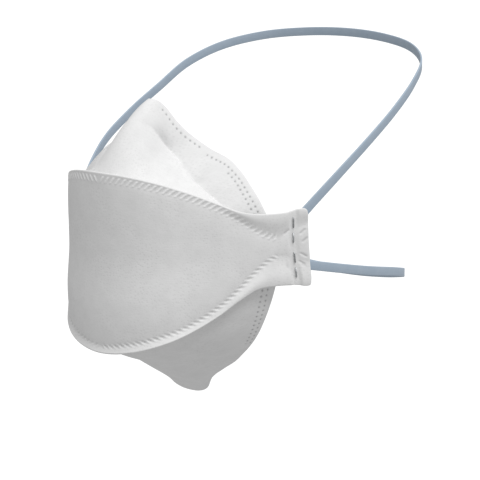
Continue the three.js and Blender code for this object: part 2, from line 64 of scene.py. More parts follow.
BODY_PUFF = 0.5
BODY_RISE = 4.0
CURL_SHARE = 0.9
TOP_CURL_POWER = 6
BOTTOM_CURL_POWER = 1.4
TOP_BULGE = 1.5
BOTTOM_BULGE = 1.8
BULGE_REACH = 0.64
CURL_END = 58.0
BULGE_START = 76.0
BULGE_FADE_START = 88.0
BULGE_FADE_END = 98.0
BULGE_LEFT = 0.5
EDGE_ROUNDING = 0.7
EDGE_CLOTH = 1.1
WELD_TUCK = 1.5

FRONT_FADE_START = 20.0
FRONT_FADE_END = 80.0

TAB_START = 84.0
TAB_BLEND = 8.0
CORNER_RADIUS = 2.4
TAB_SLANT = 0.105
SLANT_TOP = 4.0
SLANT_ROUNDING = 2.0
SLANT_FULL = 96.0
END_BOW = 0.6
END_BOW_MIDDLE = 1.0
END_BOW_HEIGHT = 19.5
END_BOW_START = 99.0
STAPLE_AT = 97.4
STAPLE_SEAT = -0.2
STAPLE_FLAT = 1.2
STAPLE_FREE = 3.2
STAPLE_CROWN = 12.2
STAPLE_LEG_FOLD = 4.9
WIRE_WIDTH = 0.7
WIRE_THICKNESS = 0.5
UPPER_STAPLE_HEIGHT = 10.2
LOWER_STAPLE_HEIGHT = -7.1

BAND_WIDTH = 4.7
BAND_THICKNESS = 1.0


def table(columns, *rows):
    """The columns of a short table, by name."""
    return dict(zip(columns.split(), np.array(rows, float).T))


def each_row(rows):
    """The rows of a table, one after another."""
    return zip(*rows.values())


# Centre panel outline: s is the distance from the middle along the cloth, the rest are heights
CENTRE_ROWS = table(
    "s top_edge top_weld bottom_weld bottom_edge",
    (0, 39.4, 35.4, -46.0, -49.8),
    (15, 38.6, 34.9, -43.8, -48.2),
    (30, 35.8, 32.4, -39.8, -44.2),
    (45, 31.0, 27.8, -34.4, -38.4),
    (60, 25.0, 21.6, -25.7, -30.3),
    (70, 21.0, 16.2, -17.4, -23.2),
    (79, 19.4, 10.2, -8.6, -18.0),
    (88, 19.1, 6.6, -2.4, -16.8),
    (96, 19.6, 9.4, -2.8, -17.2),
    (101, 20.7, 11.4, -4.8, -17.9),
    (105, 20.5, 12.8, -6.2, -18.2),
)

# How deep each weld is pressed in, or stands out where the depth is negative, and how far the
# strip beyond it curls out
WELD_ROWS = table(
    "s top_depth top_curl bottom_depth bottom_curl",
    (0, -0.4, 0.4, 0.8, 0.5),
    (12, -0.1, 0.2, 0.8, 0.5),
    (25, 0.1, 0.15, 0.7, 0.7),
    (45, 0.1, 0.15, 0.6, 0.9),
    (65, 0.15, 0.25, 0.3, 0.7),
    (80, 0.2, 0.4, 0.2, 0.5),
    (96, 0.1, 0.4, 0.1, 0.5),
    (105, 0.1, 0.4, 0.1, 0.5),
)

# Upright shape of the front, out from a straight wall: s is the share of the height
FRONT_ROWS = table(
    "s out",
    (0, 0.85),
    (0.1, 0.65),
    (0.18, 0.7),
    (0.27, 0.6),
    (0.35, 0.05),
    (0.45, -0.75),
    (0.52, -1.05),
    (0.6, -1),
    (0.66, -0.98),
    (0.75, -0.8),
    (0.88, -0.7),
    (1, -0.7),
)

# Side panels: from the weld at s to the face seal at x, y, z. rise and lean are how far the cloth
# first goes up and back from the weld; run and fall are how it arrives at the seal.
TOP_ROWS = table(
    "s rise lean x y z run fall",
    (0, 9, 6, 0, 38.6, 70.4, 17, 8),
    (5, 9, 6, 2.9, 40.2, 69.8, 17, 8),
    (10, 8, 6, 5.5, 42.8, 67, 16, 7),
    (19, 7, 7, 11.2, 45.5, 60.1, 12, 5),
    (28, 6, 7, 18.1, 48.5, 53.3, 8, 4),
    (37, 6, 7, 27.5, 50.5, 47.4, 6, 3),
    (47, 6, 6, 38.6, 51.8, 43, 5, 2),
    (55, 6, 5, 46, 52.4, 37.2, 5, 2),
    (62, 6, 4, 51.3, 52, 31.9, 4, 2),
    (70, 5, 3, 56.6, 51.7, 25.9, 3, 2),
    (78, 4, 2, 59.7, 53.5, 18.9, 2, 1),
    (85, 2, 1, 61.8, 56.8, 12.4, 2, 1),
    (91, 1, 1, 63.6, 60, 7.6, 1, 1),
)
BOTTOM_ROWS = table(
    "s rise lean x y z run fall",
    (0, -9, 12, 0, 67.5, -85, 8, -11),
    (6, -9, 12, 7.4, 67.4, -84.1, 8, -11),
    (10, -9, 12, 12.5, 67, -81.2, 9, -9),
    (13, -9, 11, 15.8, 66.5, -75.4, 12, -4),
    (20, -9, 11, 23.9, 66.3, -69, 14, -2),
    (28, -9, 10, 31.5, 65.9, -63.6, 14, -1),
    (36, -9, 9, 38, 64.5, -57.4, 14, 0),
    (44, -9, 8, 44, 63.5, -51, 13, 0),
    (52, -8, 6, 49.5, 62, -44, 11, 0),
    (60, -7, 4, 53.8, 61, -36.5, 9, 0),
    (68, -6, 3, 57.2, 60.4, -29.2, 7, 1),
    (75, -5, 2, 60, 60, -22, 5, 1),
    (83, -4, 1, 62, 60.2, -14.5, 3, 2),
    (91, -2, 1, 63.8, 61, -7.4, 1, 1),
)

# Fold across the top panel: at is the share of the way from weld to seal, valley is how far the
# two flat sides dip to meet there, dimple is a dent beside it, and flank is how far the side of
# the nose lies in, half-way up
DIMPLE_WELD_SIDE = 1.5
DIMPLE_SEAL_SIDE = 6.5
CREASE_ROWS = table(
    "s at valley dimple flank",
    (0, 0.68, 0.3, 0.1, -1.2),
    (4, 0.68, 0.5, 0.1, -1.2),
    (12, 0.71, 1.8, 0.6, -0.8),
    (20, 0.745, 3.4, 3.3, 0.6),
    (27, 0.72, 3.9, 3.4, 0.9),
    (35, 0.59, 4.0, 1.2, 0.9),
    (43, 0.47, 3.8, 2.6, 0.4),
    (50, 0.36, 3.2, 1.8, 0.1),
    (58, 0.28, 2.4, 1.0, 0),
    (66, 0.18, 1.1, 0.3, 0),
    (74, 0.1, 0, 0, 0),
)

# The bottom panel bows out below its weld and dips above the chin tab, near the middle
BOW_END = 34.0
BOW_ROWS = table("s press", (0, 0), (0.24, -1), (0.52, 0.6), (0.74, -0.4), (1, 0))

# Headband routes: along the inside of the tab, then round the head to the middle of its back
UPPER_TAB_ROUTE = table("s z", (93, 6.4), (97.4, 10.4), (101.4, 15), (105.2, 19))
LOWER_TAB_ROUTE = table("s z", (93, -6.9), (98, -7.2), (102.5, -7.8), (107.5, -8.6))
UPPER_ROUTE = table(
    "x y z",
    (77.7, 90, 35),
    (79, 113, 48),
    (78, 137, 60.1),
    (75.5, 158, 71.4),
    (67, 179, 80),
    (50, 195, 85.5),
    (26, 204, 88.5),
)
UPPER_BACK = (0, 207, 89.5)
LOWER_ROUTE = table(
    "x y z",
    (78, 91, -13.2),
    (77.3, 117, -19.4),
    (74.5, 143.5, -25.3),
    (68.5, 163.5, -30.4),
    (57, 178, -35.2),
    (41, 188, -39.6),
    (21, 193, -42.6),
)
LOWER_BACK = (0, 194.5, -43.6)

# ---- Fine detail that only the looks have ---------------------------------------------------

# Slanted bars of the two welds along the centre panel: the angle between a bar and its weld, how far
# the bars reach beyond the weld and inside it, how deep a bar sinks and how high the ridge between
# two bars rises, how dark the fused bar is (tone) and how strong the painted highlight on the ridge
# between two bars is (light)
BAR_PITCH = 3.0
TOP_BARS = SimpleNamespace(lean=57, outer=2.1, inner=0.8, sink=0.06, rise=0.28, tone=0.02, light=1.2)
BOTTOM_BARS = SimpleNamespace(lean=46, outer=1.3, inner=0.8, sink=0.2, rise=0.2, tone=0.1, light=0.1)
BAR_FADE = 0.5
BARS_START = 2.0
BARS_END = 89.0
BARS_END_FADE = 1.0

# Painted shade along the very edge of the strip beyond the top weld, standing in for the shade under
# a rolled lip, from this share of its height
EDGE_PAINTED_SHADE = 0.3
EDGE_PAINTED_SHADE_SHARE = 0.8

# Separate bars on the tabs: where, and how many degrees the bar leans out from upright
TAB_BARS = table(
    "s z lean",
    (94, 9.5, 52),
    (102, 9.2, 48),
    (103, 5.1, 50),
    (94.1, -7.8, 128),
    (101.9, -2.4, 125),
    (100.9, -6.3, 128),
)
TAB_BAR_LENGTH = 2.4
TAB_BAR_WIDTH = 0.55
TAB_BAR_SINK = 0.35
TAB_BAR_TONE = 0.22

# Rows of small welded dots round the face seal: gap is how far in from the edge a row lies, first
# and last are the s that it runs between, and shift is a share of the pitch
DOT_PITCH = 2.75
DOT_RADIUS = 0.48
DOT_DEPTH = 0.42
DOT_COLUMNS = "gap first last shift"
TOP_DOTS = table(DOT_COLUMNS, (2.8, 10, 34, 0.3), (4.2, 37, 86, 0.3), (6.7, 50, 86, 0.4))
BOTTOM_DOTS = table(DOT_COLUMNS, (6.2, 44, 86, 0), (9.2, 44, 86, 0.5))

# Painted shade in the dents beside the top panel's fold: s and the share of the way from weld to
# seal, how far the painted shade reaches in each of them, and how dark it is
TOP_PAINTED_SHADES = table("s share wide high tone", (20, 0.77, 5, 0.06, 0.26), (42, 0.54, 5, 0.05, 0.1))

# The side panels' cloth is SEAL_CLOTH thick up to SEAL_FLAT from the face seal, and its full
# thickness from SEAL_TAPER on. The centre panel's cloth rounds off at each tab end.
SEAL_CLOTH = 0.8
SEAL_FLAT = 0.5
SEAL_TAPER = 5.0
END_ROUNDING = 0.8
THINNEST_END = 0.1

# Rounded corners of the elastic strip and of the wire, the bends of the wire, and how far aside
# the finish is read on each face, as a share of the width
BAND_CORNER = 0.35
WIRE_CORNER = 0.22
WIRE_BEND = 0.7
FACE_SHIFT = 0.2

# Mesh density: rows lie closest together near the welds and over the strip with the dots
WELD_RUN_POINTS = 1041
CENTRE_COLUMNS = 640
SIDE_COLUMNS = 600
SIDE_ROWS = 60
SEAL_STRIP_START = 0.78
SEAL_STRIP_ROWS = 32
NEAR_STEP = 0.3
NEAR_FLANGE_ROWS = 6
NEAR_BODY_ROWS = 11
FLANGE_ROWS = 8
BODY_ROWS = 14
INSIDE_ROWS = 22
RIM_ANGLES = np.radians([30, 60, 90, 120, 150])
CORNER_ANGLES = np.radians([0, 30, 60, 90])
CURVE_STEPS = 60
BAND_SECTIONS = 421
BEND_STEPS = 7


# ---- Reading the tables ---------------------------------------------------------------------

def read(rows, key, s, odd=False):
    """Cubic through the rows, level in the middle of the mask, or passing through zero if odd."""
    at, value = rows["s"], rows[key]
    distance = np.abs(np.asarray(s, float))
    last = len(at) - 1
    after = np.minimum(np.arange(1, last + 2), last)
    before = np.maximum(np.arange(-1, last), 0)
    slopes = (value[after] - value[before]) / (at[after] - at[before])
    if not odd:
        slopes[0] = 0
    i = np.clip(np.searchsorted(at, distance) - 1, 0, last - 1)
    step = at[i + 1] - at[i]
    t = np.clip((distance - at[i]) / step, 0, 1)
    t2, t3 = t**2, t**3
    return (
        (2 * t3 - 3 * t2 + 1) * value[i]
        + (t3 - 2 * t2 + t) * step * slopes[i]
        + (3 * t2 - 2 * t3) * value[i + 1]
        + (t3 - t2) * step * slopes[i + 1]
    )


def smooth(value, low, high):
    t = np.clip((value - low) / (high - low), 0, 1)
    return t * t * (3 - 2 * t)


def mix(a, b, share):
    return a + (b - a) * share


def unit(vectors):
    return vectors / np.linalg.norm(vectors, axis=-1, keepdims=True)


# ---- Centre panel ---------------------------------------------------------------------------

def plan_point(s, z, out):
    """Points s along the centre panel at height z, moved out from the face by out."""
    s, z, out = np.broadcast_arrays(s, z, out)
    distance = np.abs(s)
    front_length = FRONT_RADIUS * FRONT_TURN
    on_front = distance < front_length
    cheek_turn = FRONT_TURN + (distance - front_length) / CHEEK_RADIUS
    turn = np.where(on_front, distance / FRONT_RADIUS, cheek_turn)
    radius = np.where(on_front, FRONT_RADIUS, CHEEK_RADIUS)
    offset = FRONT_RADIUS - radius
    start_turn = np.where(on_front, 0, FRONT_TURN)
    x = offset * np.sin(start_turn) + (radius + out) * np.sin(turn)
    y = FRONT_RADIUS - offset * np.cos(start_turn) - (radius + out) * np.cos(turn)
    return np.stack([np.where(s < 0, -x, x), y, z + 0.0 * x], -1)


def centre_row(s):
    distance = np.abs(s)
    corner = np.maximum(0, distance - (HALF_LENGTH - CORNER_RADIUS))
    rounding = CORNER_RADIUS - np.sqrt(np.maximum(0, CORNER_RADIUS**2 - corner**2))
    return SimpleNamespace(
        top_edge=read(CENTRE_ROWS, "top_edge", s) - rounding,
        top_weld=read(CENTRE_ROWS, "top_weld", s),
        bottom_weld=read(CENTRE_ROWS, "bottom_weld", s),
        bottom_edge=read(CENTRE_ROWS, "bottom_edge", s) + rounding,
    )


def tab_slant(distance, z):
    """How much further out the lower half of each tab reaches, and how far its end bows out."""
    below = SLANT_TOP - z
    pull = TAB_SLANT * (below + np.hypot(below, SLANT_ROUNDING)) / 2
    bow = END_BOW * np.maximum(0, 1 - ((z - END_BOW_MIDDLE) / END_BOW_HEIGHT) ** 2)
    slant_share = smooth(distance, TAB_START, SLANT_FULL)
    return pull * slant_share + bow * smooth(distance, END_BOW_START, HALF_LENGTH)


def cloth_point(s, z, out):
    """Points of the centre panel: s is read along its flat cloth, before the tabs are pulled."""
    return plan_point(s + np.sign(s) * tab_slant(np.abs(s), z), z, out)


def body_shift(s, z, row):
    """Upright shape of the whole cloth, strongest at the front of the mask."""
    share = (z - row.bottom_edge) / (row.top_edge - row.bottom_edge)
    fade = 1 - smooth(np.abs(s), FRONT_FADE_START, FRONT_FADE_END)
    return read(FRONT_ROWS, "out", share) * fade


def flange_puff(distance, share, depth, curl, power, bulge):
    """How far the strip beyond a weld stands out: a curl at the front, a bulge on the tabs."""
    bent = (curl + depth) * np.minimum(share / CURL_SHARE, 1) ** power
    left = mix(1, BULGE_LEFT, smooth(distance, BULGE_FADE_START, BULGE_FADE_END))
    swollen = (bulge * left + depth) * np.sin(np.pi * BULGE_REACH * share) ** 2
    return mix(bent, swollen, smooth(distance, CURL_END, BULGE_START)) - depth


def weld_run(key):
    """Length along a weld line and its slope, at even distances from the middle."""
    at = np.linspace(0, HALF_LENGTH, WELD_RUN_POINTS)
    heights = read(CENTRE_ROWS, key, at)
    slopes = np.gradient(heights, at)
    steps = np.hypot(np.diff(at), np.diff(heights))
    return at, np.concatenate([[0], np.cumsum(steps)]), slopes


def bar_pattern(s, outward, key, sign, bars):
    """Relief and tone of the slanted bars across a weld; sign is 1 where outward is up."""
    at, runs, slopes = weld_run(key)
    distance = np.abs(s)
    angle = np.arctan(sign * np.interp(distance, at, slopes))
    across = outward * np.cos(angle)
    along = np.interp(distance, at, runs) + outward * np.sin(angle)
    wave = np.cos(2 * np.pi * (along - across / math.tan(math.radians(bars.lean))) / BAR_PITCH)
    reach = np.where(across > 0, bars.outer, bars.inner)
    near = 1 - smooth(np.abs(across), reach - BAR_FADE, reach + BAR_FADE)
    near = near * (1 - smooth(distance, BARS_END - BARS_END_FADE, BARS_END + BARS_END_FADE))
    near = near * smooth(distance, 0, BARS_START)
    relief = np.where(wave > 0, -bars.sink, -bars.rise) * wave * near
    # dark tone on the pressed bars; the negative tone on the ridges between them is a painted
    # highlight
    return relief, np.where(wave > 0, bars.tone, bars.light) * wave * near


def tab_bars(s, z):
    """How far a point is in one of the separate bars pressed into the tabs, from 0 to 1."""
    distance = np.abs(s)
    depth = np.zeros(np.broadcast(s, z).shape)
    for at, height, lean in each_row(TAB_BARS):
        turn = math.radians(lean)
        along = (distance - at) * math.sin(turn) + (z - height) * math.cos(turn)
        across = (distance - at) * math.cos(turn) - (z - height) * math.sin(turn)
        ends = np.maximum(0, np.abs(along) - TAB_BAR_LENGTH / 2)
        depth = np.maximum(depth, np.exp(-((across**2 + ends**2) / TAB_BAR_WIDTH**2)))
    return depth


def puff_of(s, z, row):
    """How far the cloth puffs out between the welds and on the strips beyond them."""
    distance = np.abs(s)
    top_depth, top_curl, bottom_depth, bottom_curl = (
        read(WELD_ROWS, key, s) for key in ("top_depth", "top_curl", "bottom_depth", "bottom_curl")
    )
    to_top = row.top_weld - z
    to_bottom = z - row.bottom_weld
    across = np.clip(to_top / (row.top_weld - row.bottom_weld), 0, 1)
    depth = mix(top_depth, bottom_depth, across)
    top_rise = 1 - np.exp(-np.maximum(to_top, 0) / BODY_RISE)
    bottom_rise = 1 - np.exp(-np.maximum(to_bottom, 0) / BODY_RISE)
    body = (BODY_PUFF + depth) * top_rise * bottom_rise - depth
    top_strip = flange_puff(
        distance, top_strip_share(z, row), top_depth, top_curl, TOP_CURL_POWER, TOP_BULGE
    )
    bottom_share = np.clip(-to_bottom / (row.bottom_weld - row.bottom_edge), 0, 1)
    bottom_strip = flange_puff(
        distance, bottom_share, bottom_depth, bottom_curl, BOTTOM_CURL_POWER, BOTTOM_BULGE
    )
    return np.where(to_bottom < 0, bottom_strip, np.where(to_top < 0, top_strip, body))


def top_strip_share(z, row):
    return np.clip((z - row.top_weld) / (row.top_edge - row.top_weld), 0, 1)


def outside_of(s, z, row):
    """Outside of the centre cloth with its pressed marks, and the tone of each point, painted
    highlights and painted edge shade included.
    """
    distance = np.abs(s)
    top_relief, top_tone = bar_pattern(s, z - row.top_weld, "top_weld", 1, TOP_BARS)
    bottom_relief, bottom_tone = bar_pattern(
        s, row.bottom_weld - z, "bottom_weld", -1, BOTTOM_BARS
    )
    marks = tab_bars(s, z)
    puff = puff_of(s, z, row) + top_relief + bottom_relief
    free = smooth(np.abs(distance - STAPLE_AT), STAPLE_FLAT, STAPLE_FREE)
    out = mix(STAPLE_SEAT, puff + body_shift(s, z, row), free) - TAB_BAR_SINK * marks
    # painted shade along the very edge of the top strip, at the front only
    edge = smooth(top_strip_share(z, row), EDGE_PAINTED_SHADE_SHARE, 1)
    edge = edge * (1 - smooth(distance, CURL_END, BULGE_START))
    tone = top_tone + bottom_tone + TAB_BAR_TONE * marks + EDGE_PAINTED_SHADE * edge
    return out, np.clip(tone, -1, 1)


def inside_of(s, z, row):
    tab_share = smooth(np.abs(s), TAB_START - TAB_BLEND, TAB_START)
    return body_shift(s, z, row) - mix(CENTRE_CLOTH, TAB_CLOTH, tab_share)


def outside_heights(row):
    """Heights down the outside of each section, close together at the two welds."""
    flange_shares = np.linspace(0, 1, FLANGE_ROWS, endpoint=False)
    flange_steps = NEAR_STEP * np.arange(NEAR_FLANGE_ROWS, 0, -1)
    body_steps = NEAR_STEP * np.arange(NEAR_BODY_ROWS)
    body_shares = np.linspace(0, 1, BODY_ROWS, endpoint=False)
    middle = (row.top_weld + row.bottom_weld) / 2

    def from_edge(edge, weld, toward):
        near = weld + toward * NEAR_STEP * NEAR_FLANGE_ROWS
        far = weld - toward * NEAR_STEP * NEAR_BODY_ROWS
        return np.concatenate(
            [
                mix(edge - toward * EDGE_ROUNDING, near, flange_shares),
                weld + toward * flange_steps,
                weld - toward * body_steps,
                mix(far, middle, body_shares),
            ],
            axis=1,
        )

    upper = from_edge(row.top_edge, row.top_weld, 1)
    lower = from_edge(row.bottom_edge, row.bottom_weld, -1)
    return np.concatenate([upper, middle, lower[:, ::-1]], axis=1)


def rim_points(s, edge, toward, out_edge, in_edge, angles):
    """Points round a rolled long edge of the centre panel, and their heights."""
    in_edge = np.maximum(in_edge, out_edge - EDGE_CLOTH)
    centre = (out_edge + in_edge) / 2
    half = (out_edge - in_edge) / 2
    z = edge - toward * EDGE_ROUNDING + toward * EDGE_ROUNDING * np.sin(angles)
    return cloth_point(s, z, centre + half * np.cos(angles)), z


def centre_faces(s, row):
    """Heights and offsets of the outside, then of the inside, and the tone of the outside."""
    z_out = outside_heights(row)
    bottom, top = row.bottom_edge + EDGE_ROUNDING, row.top_edge - EDGE_ROUNDING
    z_in = mix(bottom, top, np.linspace(0, 1, INSIDE_ROWS))
    out, tone = outside_of(s, z_out, row)
    back = inside_of(s, z_in, row)
    middle_out = (out + inside_of(s, z_out, row)) / 2
    middle_in = (back + outside_of(s, z_in, row)[0]) / 2
    # the cloth closes towards its middle as it rounds off at a tab end
    full = np.sqrt(np.clip((HALF_LENGTH - np.abs(s)) / END_ROUNDING, THINNEST_END, 1))
    return z_out, mix(middle_out, out, full), z_in, mix(middle_in, back, full), tone


def centre_panel():
    """The centre panel's piece, the flat size of its cloth and its area."""
    stations = np.linspace(-HALF_LENGTH, HALF_LENGTH, CENTRE_COLUMNS)
    s = stations[:, None]
    row = centre_row(s)
    z_out, out, z_in, back, tone = centre_faces(s, row)
    lower_rim, z_low = rim_points(s, row.bottom_edge, -1, out[:, -1:], back[:, :1], RIM_ANGLES)
    upper_rim, z_top = rim_points(s, row.top_edge, 1, out[:, :1], back[:, -1:], RIM_ANGLES[::-1])
    rings = np.concatenate(
        [cloth_point(s, z_out, out), lower_rim, cloth_point(s, z_in, back), upper_rim], axis=1
    )
    heights = np.concatenate([z_out, z_low, z_in, z_top], axis=1)
    tones = np.zeros(heights.shape)
    tones[:, : tone.shape[1]] = tone
    coordinates = np.stack([s + 0 * heights, heights], -1)
    piece = loft("centre_panel_cloth", rings, coordinates, tones)
    widths = (row.top_edge - row.bottom_edge)[:, 0]
    area = float(((widths[1:] + widths[:-1]) / 2 * np.diff(stations)).sum())
    return piece, (2 * HALF_LENGTH, float(widths.max())), area


# ---- Top and bottom panels ------------------------------------------------------------------

def side_surface(rows, weld, tuck, s, share):
    """Outside of a side panel: one line of points from weld to seal for each s."""
    s = s[:, None]
    row = centre_row(s)
    height = getattr(row, weld) + tuck
    start_out = inside_of(s, height, row) - GAP
    start = plan_point(s, height, start_out)
    inward = plan_point(s, height, start_out - 1) - start
    sides = np.where(s < 0, -1, 1)
    x = sides * read(rows, "x", s, odd=True)
    end = np.stack([x, read(rows, "y", s), read(rows, "z", s)], -1)
    up = np.array([0, 0, 1.0])
    leave = start + inward * read(rows, "lean", s)[..., None] + up * read(rows, "rise", s)[..., None]
    arrive = end - inward * read(rows, "run", s)[..., None] - up * read(rows, "fall", s)[..., None]
    t = share[None, :, None]
    return (
        (1 - t) ** 3 * start
        + 3 * (1 - t) ** 2 * t * leave
        + 3 * (1 - t) * t**2 * arrive
        + t**3 * end
    )


def surface_normals(grid):
    """Unit normals of a grid of points, on the side that the front of the mask faces."""
    across = np.gradient(grid, axis=0)
    along = np.gradient(grid, axis=1)
    return unit(np.cross(across, along))


def lengths(points, axis):
    """Length along a grid of points, from its first row or column."""
    steps = np.linalg.norm(np.diff(points, axis=axis), axis=-1)
    start = np.zeros_like(np.take(steps, [0], axis=axis))
    return np.concatenate([start, np.cumsum(steps, axis=axis)], axis=axis)


def seal_run(grid):
    """Length along the face seal, both ways from the middle of the mask."""
    run = lengths(grid[:, -1:], 0)
    middle = len(run) // 2
    return np.abs(run - (run[middle] + run[middle - 1]) / 2)


def dot_pattern(s, edge_run, gap, rows):
    """How far each point is into a small welded dot, from 0 to 1."""
    pattern = np.zeros(gap.shape)
    distance = np.abs(s)
    for at, first, last, shift in each_row(rows):
        along = ((edge_run / DOT_PITCH + shift) % 1 - 0.5) * DOT_PITCH
        dots = np.exp(-(along**2 + (gap - at) ** 2) / DOT_RADIUS**2)
        pattern = np.maximum(pattern, dots * ((distance >= first) & (distance <= last)))
    return pattern


def top_press(s, run, length):
    """How far the top panel is pressed in: its two valleys, its dents and the nose's sides."""
    distance = np.abs(s)
    at, valley, dimple, flank = (
        read(CREASE_ROWS, key, distance) for key in ("at", "valley", "dimple", "flank")
    )
    share = run / length
    away = run - at * length
    ramp = np.where(away < 0, share / at, (1 - share) / (1 - at))
    dent = np.exp(np.where(away < 0, away / DIMPLE_WELD_SIDE, -away / DIMPLE_SEAL_SIDE))
    press = valley * ramp + dimple * dent + flank * np.sin(np.pi * share)
    return press * (distance < CREASE_ROWS["s"][-1])


def bottom_press(s, run, length):
    """How far the bottom panel is pressed in: it bows below its weld and dips above the chin tab."""
    return read(BOW_ROWS, "press", run / length) * (1 - smooth(np.abs(s), BOW_END / 2, BOW_END))


def side_shares():
    """Even steps over the cloth, then close steps over the welded strip along the seal."""
    cloth = np.linspace(0, SEAL_STRIP_START, SIDE_ROWS, endpoint=False)
    return np.concatenate([cloth, np.linspace(SEAL_STRIP_START, 1, SEAL_STRIP_ROWS)])


def painted_crease_shade(s, share, painted_shades):
    """How much painted shade each point gets in the dents where the cloth is creased."""
    painted_shade = np.zeros(np.broadcast(s, share).shape)
    for at, height, wide, high, tone in each_row(painted_shades):
        painted_shade += tone * np.exp(-(((np.abs(s) - at) / wide) ** 2) - ((share - height) / high) ** 2)
    return painted_shade


def seal_rim(outside, inside, beyond):
    """Points round the rolled edge at the face seal, which faces beyond the end of the cloth."""
    centre = (outside + inside) / 2
    half = (outside - inside) / 2
    angles = RIM_ANGLES[None, :, None]
    return centre + half * np.cos(angles) + beyond * SEAL_CLOTH / 2 * np.sin(angles)


def surface_area(grid):
    """Area of a grid of points, summed over its cells."""
    cell_across = np.linalg.norm(np.diff(grid[:, :-1], axis=0), axis=-1)
    cell_along = np.linalg.norm(np.diff(grid[:-1], axis=1), axis=-1)
    return float((cell_across * cell_along).sum())


def side_panel(name, rows, weld, tuck, sign, dots, press, painted_shades):
    """A side panel's piece, the flat size of its cloth and its area.

    sign turns the grid's normals to the outside of the mask.
    """
    reach = rows["s"][-1]
    s = np.linspace(-reach, reach, SIDE_COLUMNS)
    grid = side_surface(rows, weld, tuck, s, side_shares())
    normals = surface_normals(grid)
    run = lengths(grid, 1)
    length = run[:, -1:]
    gap = length - run
    fused = dot_pattern(s[:, None], seal_run(grid), gap, dots)
    pressed = press(s[:, None], run, length) + DOT_DEPTH * fused
    outside = grid - normals * (pressed * sign)[..., None]
    cloth = mix(SEAL_CLOTH, SIDE_CLOTH, smooth(gap, SEAL_FLAT, SEAL_TAPER))
    thickness = cloth - DOT_DEPTH * fused
    inside = outside - normals * (thickness * sign)[..., None]
    rim = seal_rim(outside[:, -1:], inside[:, -1:], unit(grid[:, -1:] - grid[:, -2:-1]))
    # the inside has every second row of the outside, from the seal back to the weld
    back = slice(None, None, -2)
    rings = np.concatenate([outside, rim, inside[:, back]], axis=1)
    rim_run = np.repeat(length, len(RIM_ANGLES), axis=1)
    along = np.concatenate([run, rim_run, run[:, back]], axis=1)
    # painted shade in the crease dents, carried in the same tone as the fused dots
    painted_shade = painted_crease_shade(s[:, None], run / length, painted_shades)
    tone = np.concatenate([fused + painted_shade, 0 * rim_run, fused[:, back]], axis=1)
    coordinates = np.stack([s[:, None] + 0 * along, along], -1)
    piece = loft(name, rings, coordinates, tone)
    return piece, (2 * reach, float(length.max())), surface_area(grid)


# ---- Meshes ---------------------------------------------------------------------------------

def loft(name, rings, coordinates, tones=None):
    """A closed mesh through one ring of points for each station, with flat ends.

    The mesh keeps where each point lies on the flat cloth, and its tone: 0 for plain cloth, up to 1
    for a dark weld and for painted shade, and down to -1 for a painted highlight on a ridge.
    """
    count, size = rings.shape[:2]
    points = rings.reshape(-1, 3) - (0, SEAT_DEPTH, 0)
    index = np.arange(count * size).reshape(count, size)
    first, second = index[:-1], index[1:]
    quads = np.stack([first, np.roll(first, -1, 1), np.roll(second, -1, 1), second], -1)
    faces = quads.reshape(-1, 4).tolist() + [index[0].tolist(), index[-1].tolist()]
    mesh = bpy.data.meshes.new(name)
    mesh.from_pydata((points * MM).tolist(), [], faces)
    work = bmesh.new()
    work.from_mesh(mesh)
    bmesh.ops.recalc_face_normals(work, faces=work.faces)
    work.to_mesh(mesh)
    work.free()
    smooth_faces = np.ones(len(mesh.polygons), bool)
    smooth_faces[-2:] = False
    mesh.polygons.foreach_set("use_smooth", smooth_faces)
    flat = np.concatenate([coordinates * MM, np.zeros(coordinates.shape[:2] + (1,))], -1)
    mesh.attributes.new("cloth", "FLOAT_VECTOR", "POINT").data.foreach_set("vector", flat.ravel())
    if tones is not None:
        # the weld attribute carries painted shade and painted highlights as well as fused welds and
        # dots
        mesh.attributes.new("weld", "FLOAT", "POINT").data.foreach_set("value", tones.ravel())
    piece = bpy.data.objects.new(name, mesh)
    bpy.context.scene.collection.objects.link(piece)
    return piece


def sweep(name, centres, across, outward, width, thickness, corner):
    """A strip or wire with rounded edges along a line of centres."""
    quarter = np.stack([corner * np.cos(CORNER_ANGLES), corner * np.sin(CORNER_ANGLES)], -1)
    inner = np.array([width / 2 - corner, thickness / 2 - corner])
    outline = []
    for turn, (a, b) in enumerate(((1, 1), (-1, 1), (-1, -1), (1, -1))):
        spin = math.pi / 2 * turn
        rotation = np.array([[math.cos(spin), math.sin(spin)], [-math.sin(spin), math.cos(spin)]])
        outline.append(quarter @ rotation + inner * (a, b))
    outline = np.concatenate(outline)
    rings = (
        centres[:, None]
        + across[:, None] * outline[None, :, :1]
        + outward[:, None] * outline[None, :, 1:]
    )
    run = lengths(centres[:, None], 0)
    around = outline[:, 0] + np.sign(outline[:, 1]) * FACE_SHIFT * width
    coordinates = np.stack([run + 0 * around[None], 0 * run + around[None]], -1)
    return loft(name, rings, coordinates)


# ---- Headbands ------------------------------------------------------------------------------

def centripetal(points, steps):
    """Centripetal Catmull-Rom curve through the points, at even steps of its length."""
    points = np.asarray(points, float)
    ends = np.concatenate([[2 * points[0] - points[1]], points, [2 * points[-1] - points[-2]]])
    fine = []
    t = np.linspace(0, 1, CURVE_STEPS, endpoint=False)[:, None]
    for p0, p1, p2, p3 in zip(ends, ends[1:], ends[2:], ends[3:]):
        d0, d1, d2 = (np.sqrt(np.linalg.norm(b - a)) for a, b in ((p0, p1), (p1, p2), (p2, p3)))
        m1 = ((p1 - p0) / d0 - (p2 - p0) / (d0 + d1) + (p2 - p1) / d1) * d1
        m2 = ((p2 - p1) / d1 - (p3 - p1) / (d1 + d2) + (p3 - p2) / d2) * d1
        c2 = -3 * p1 + 3 * p2 - 2 * m1 - m2
        c3 = 2 * p1 - 2 * p2 + m1 + m2
        fine.append(p1 + m1 * t + c2 * t**2 + c3 * t**3)
    fine = np.concatenate([*fine, points[-1:]])
    run = lengths(fine[:, None], 0)[:, 0]
    at = np.linspace(0, run[-1], steps)
    return np.stack([np.interp(at, run, fine[:, k]) for k in range(3)], -1), float(run[-1])


